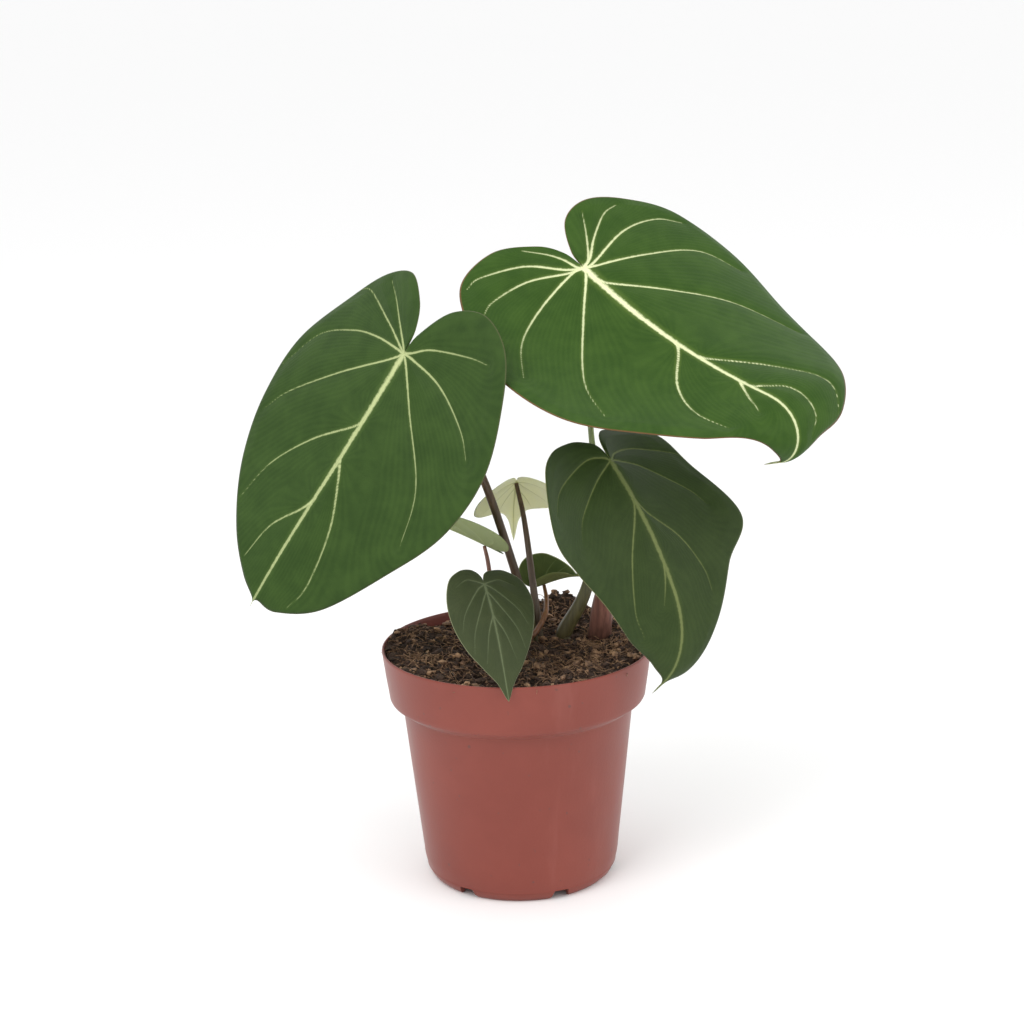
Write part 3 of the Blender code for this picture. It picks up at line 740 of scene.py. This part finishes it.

# back blade: small, facing away, so that its underside shows and lets light through; its cream is partly its
# own pale colour and partly painted light shining through from behind
back_form = BentBlade(stalk_at=(1.5, 14.0, 177.0), length=40, heading=94, lean=-36, droop=-12, hook=-50,
                      hook_from=0.5, roll=4, twist=0, folds=(-24, -20), curls=(-0.4, -0.4))
# the bright cream underside and pale margin colours are the underside's own pale green brightened with painted
# light shining through the blade
back_cream_painted_backlight = blade_material(
    "pale underside with painted backlight", dark=(0.10, 0.15, 0.05), light=(0.16, 0.22, 0.08), halo=(0.2, 0.26, 0.1),
    vein=(0.42, 0.44, 0.20), margin=(0.62, 0.64, 0.34), underside=(0.84, 0.85, 0.58), margin_width=0.4,
    halo_amount=0.3, vein_amount=0.6, sheen=0.02, roughness=0.6, glow=0.5)
BACK_REACHES = (40, 33, 27, 25, 25, 24, 21, 15, 11, 8, 5)
leaf("leaf_back", "blade_back", back_cream_painted_backlight, back_form,
     left=BACK_REACHES, right=BACK_REACHES, tail=4.0,
     veins=both_sides([[(0, 0), (7, -2), (16, 1)], [(0, 0), (7, 6), (17, 14)], [(0, 6), (5, 14), (9, 24)]]),
     spacing=0.45, relief=0.5, thickness=0.6, midrib_width=0.7, vein_width=0.3)

# curled blade: the smallest, half rolled, with a pale margin
curled_form = BentBlade(stalk_at=(12.4, 16.0, 128.4), length=17, heading=12, lean=18, droop=-15, hook=-10,
                        hook_from=0.55, roll=0, twist=0, folds=(60, 38), curls=(-0.8, 0.5))
young_green = blade_material(
    "young blade", dark=(0.075, 0.110, 0.034), light=(0.135, 0.165, 0.060), halo=(0.18, 0.23, 0.08),
    vein=(0.24, 0.27, 0.13), margin=(0.36, 0.38, 0.20), underside=(0.22, 0.25, 0.09), margin_width=0.45,
    halo_amount=0.3, vein_amount=0.7)
leaf("leaf_curled", "blade_curled", young_green, curled_form,
     left=(17, 16, 15, 14, 14, 15, 15, 13, 10, 7, 4),
     right=(17, 15, 13, 12, 11, 11, 10, 9, 7, 5, 3), tail=3.0,
     veins=both_sides([[(0, 0), (5, -2), (9, 0)], [(0, 0), (5, 4), (9, 9)], [(0, 3), (3, 8), (5, 13)]]),
     spacing=0.3, relief=0.2, thickness=0.5, midrib_width=0.5, vein_width=0.25)

# ---------------------------------------------------------------------------
# Stalks: smooth, round, fleshy and tapering, each from the compost to the back of its
# blade, where it joins at the bay between the lobes. The older ones are brown. The two
# that carry the top and right blades are olive at the foot and green above.
# ---------------------------------------------------------------------------
STALK_FACETS = 24
STALK_SUNK = 1.0
UPRIGHT_FOOT = 5.0


def stalk_material(name, low, middle, high, from_height, to_height):
    """Three colours up the stalk, between two heights in millimetres, with fine lengthwise streaks."""
    material, tree, shader = new_material(name)
    split = add(tree, "ShaderNodeSeparateXYZ")
    wire(tree, add(tree, "ShaderNodeTexCoord").outputs["Object"], split, 0)
    level = remap(tree, split.outputs[2], from_height * MM, to_height * MM, curve="LINEAR")
    colour = blend(tree, remap(tree, level, 0.0, 0.45), low, middle)
    colour = blend(tree, remap(tree, level, 0.4, 1.0), colour, high)
    streak = speckle(tree, 700.0, 3.0, 0.6, (1.0, 1.0, 0.06))
    streaked = add(tree, "ShaderNodeHueSaturation")
    wire(tree, colour, streaked, "Color")
    wire(tree, remap(tree, streak, 0.3, 0.7, 0.72, 1.3), streaked, "Value")
    wire(tree, streaked.outputs[0], shader, "Base Color")
    shader.inputs["Roughness"].default_value = 0.38
    shader.inputs["Specular IOR Level"].default_value = 0.5
    bump(tree, shader, streak, 0.0003, 0.4)
    return material


def stalk(name, node, material, form, foot, path, radii):
    """A stalk from its foot, by way of the path, to the underside of its blade."""
    ground = float(bed(*foot)) - STALK_SUNK
    joint = form.beneath(0.5, 0.2 + 0.6 * radii[-1])
    line = smooth_path([(*foot, ground), (*foot, ground + UPRIGHT_FOOT), *path, tuple(joint)], 14)
    radii = (radii[0] * 1.05, *radii)
    widths = np.interp(np.linspace(0, 1, len(line)), np.linspace(0, 1, len(radii)), radii)
    # a faint channel runs down one face
    turns = np.linspace(0, math.tau, STALK_FACETS, endpoint=False)
    channelled = 1.0 - 0.07 * np.exp(-((turns - 1.5 * math.pi) / 0.35) ** 2)
    spots = np.vstack([tube(line, widths, channelled, (0.3, 1.0, 0.1)), line[:1], line[-1:]])
    last_ring = (len(line) - 1) * STALK_FACETS
    loops = skin(len(line), STALK_FACETS)
    loops += fan(len(spots) - 2, 0, STALK_FACETS) + fan(len(spots) - 1, last_ring, STALK_FACETS)
    piece = build(name, spots, loops)
    face_outwards(piece.data)
    finish(piece, material, node)


brown = stalk_material("brown stalk", (0.085, 0.062, 0.036), (0.120, 0.074, 0.047), (0.16, 0.085, 0.055),
                       104, 215)
olive = stalk_material("olive stalk", (0.088, 0.073, 0.029), (0.105, 0.105, 0.038), (0.36, 0.42, 0.20),
                       104, 205)
amber = stalk_material("amber stalk", (0.060, 0.040, 0.025), (0.20, 0.085, 0.040), (0.28, 0.12, 0.05),
                       104, 130)
rose = stalk_material("rose stalk", (0.16, 0.060, 0.045), (0.20, 0.075, 0.060), (0.24, 0.11, 0.075),
                      104, 155)

stalk("petiole_left", "stalk_left", brown, left_form, foot=(6.0, 10.5),
      path=((3.6, 8.0, 124.6), (-12.0, -3.0, 180.6), (-27.0, -9.0, 214.0)),
      radii=(2.3, 2.0, 1.8, 1.7, 1.2))
stalk("petiole_top", "stalk_top", olive, top_form, foot=(22.0, 7.0),
      path=((31.5, 4.5, 129.0), (38.0, 3.0, 160.0), (34.8, 3.0, 200.0), (32.5, 5.0, 240.0)),
      radii=(3.6, 2.7, 2.1, 1.3, 1.3, 1.2))
stalk("petiole_right", "stalk_right", olive, right_form, foot=(37.0, 14.0),
      path=((40.0, 9.0, 127.0), (46.0, -3.0, 158.0), (47.0, -16.0, 184.0)),
      radii=(2.6, 2.2, 1.9, 1.6, 1.1))
stalk("petiole_front", "stalk_front", brown, front_form, foot=(-3.0, -2.0),
      path=((-5.0, -7.0, 120.0), (-9.0, -18.0, 136.0)), radii=(1.8, 1.5, 1.2, 0.9))
stalk("petiole_edge", "stalk_edge", rose, edge_form, foot=(-8.5, 3.0),
      path=((-10.2, -2.0, 130.0), (-11.6, -4.6, 145.0)), radii=(1.5, 1.0, 0.95, 0.8))
stalk("petiole_back", "stalk_back", brown, back_form, foot=(10.0, 3.0),
      path=((7.4, 3.4, 138.0), (4.6, 7.0, 162.0)), radii=(1.9, 1.5, 1.2, 0.9))
stalk("petiole_curled", "stalk_curled", amber, curled_form, foot=(6.0, -3.0),
      path=((9.0, -2.5, 112.5), (13.0, 0.5, 119.0), (13.8, 9.0, 124.0)),
      radii=(1.8, 1.3, 1.2, 1.0, 0.8))

# ---------------------------------------------------------------------------
# Bud sheaths: thin half-rolled scales that once wrapped the buds, one reddish and one
# olive. They stand in the compost beside the feet of two stalks and narrow to a point.
# ---------------------------------------------------------------------------
SHEATH_ACROSS = 24
SHEATH_UP = 40
SHEATH_SUNK = 0.6


def sheath(name, node, material, foot, lean, height, radius, wrap, facing, thickness):
    """A tapering scale, wrapped by an angle round the stalk and facing one way."""
    across, up = np.meshgrid(np.linspace(-0.5, 0.5, SHEATH_ACROSS), np.linspace(0, 1, SHEATH_UP))
    taper = np.sqrt(np.maximum(1 - up ** 2.2, 0)) * 0.94 + 0.06
    turn = math.radians(facing) + across * math.radians(wrap) * taper
    swell = radius * (1 - 0.12 * up) + 0.25 * np.sin(9 * up + 5 * across)
    ground = float(bed(*foot)) - SHEATH_SUNK
    skins = []
    for depth in (0.0, thickness):
        x = foot[0] + lean[0] * up + (swell - depth) * np.cos(turn)
        y = foot[1] + lean[1] * up + (swell - depth) * np.sin(turn)
        skins.append(np.stack([x, y, ground + height * up], -1).reshape(-1, 3))
    total = SHEATH_ACROSS * SHEATH_UP
    loops = []
    for row in range(SHEATH_UP - 1):
        for column in range(SHEATH_ACROSS - 1):
            a = row * SHEATH_ACROSS + column
            b = a + SHEATH_ACROSS
            loops += [(a, a + 1, b + 1, b), (total + a, total + b, total + b + 1, total + a + 1)]
    foot_edge = list(range(SHEATH_ACROSS))
    right_edge = list(range(2 * SHEATH_ACROSS - 1, total, SHEATH_ACROSS))
    top_edge = list(range(total - 2, total - SHEATH_ACROSS - 1, -1))
    left_edge = list(range(total - 2 * SHEATH_ACROSS, 0, -SHEATH_ACROSS))
    border = foot_edge + right_edge + top_edge + left_edge
    loops += [(a, a + total, b + total, b) for a, b in zip(border, border[1:] + border[:1])]
    piece = build(name, np.vstack(skins), loops)
    face_outwards(piece.data)
    finish(piece, material, node)


dry_red = stalk_material("red sheath", (0.14, 0.065, 0.048), (0.26, 0.115, 0.088), (0.32, 0.16, 0.12),
                         104, 145)
sheath("sheath_wide", "sheath_red", dry_red, foot=(37.0, 14.0), lean=(5.5, -9.5), height=38.0,
       radius=5.4, wrap=190, facing=-90, thickness=0.5)
sheath("sheath_narrow", "sheath_olive", olive, foot=(10.0, 3.0), lean=(-1.4, 0.4), height=20.0,
       radius=3.3, wrap=130, facing=200, thickness=0.5)

# ---------------------------------------------------------------------------
# Studio: a white floor under a white sky, a large soft lamp at the upper left front and a
# weaker one at the right. The camera looks down a little from straight in front.
# ---------------------------------------------------------------------------
bpy.ops.mesh.primitive_plane_add(size=90.0, location=(0, 0, 0))
floor = bpy.context.object
floor.name = "floor"
paper, tree, shader = new_material("white paper")
shader.inputs["Base Color"].default_value = (0.96, 0.96, 0.96, 1)
shader.inputs["Roughness"].default_value = 0.8
floor.data.materials.append(paper)
floor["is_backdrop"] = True

sky = bpy.data.worlds.new("studio")
sky.use_nodes = True
sky.node_tree.nodes["Background"].inputs["Color"].default_value = (1, 1, 1, 1)
sky.node_tree.nodes["Background"].inputs["Strength"].default_value = 1.0
bpy.context.scene.world = sky
bpy.context.scene.view_settings.view_transform = "Standard"

LIT_POINT = Vector((0, 0, 0.16))
for name, place, power, size in (("key", (-0.7, -0.9, 1.3), 11.0, 0.9), ("fill", (1.0, -0.6, 0.8), 4.0, 1.0)):
    bpy.ops.object.light_add(type="AREA", location=place)
    lamp = bpy.context.object
    lamp.name = name
    lamp.data.energy = power
    lamp.data.size = size
    lamp.rotation_euler = (LIT_POINT - Vector(place)).to_track_quat("-Z", "Y").to_euler()

CAMERA_PLACE = Vector((-0.583, -965.265, 419.688)) * MM + AXIS
CAMERA_TILT = 14.6866
CAMERA_ROLL = -1.3992
bpy.ops.object.camera_add()
camera = bpy.context.object
camera.name = "camera"
camera.data.lens = 80.0
camera.data.sensor_width = 36.0
tilted = Matrix.Rotation(math.radians(90.0 - CAMERA_TILT), 4, "X")
rolled = Matrix.Rotation(math.radians(CAMERA_ROLL), 4, "Z")
camera.matrix_world = Matrix.Translation(CAMERA_PLACE) @ tilted @ rolled
bpy.context.scene.camera = camera

size = {"cad": [list(corner) for corner in cad_bounds], "visual": [list(corner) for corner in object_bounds()]}
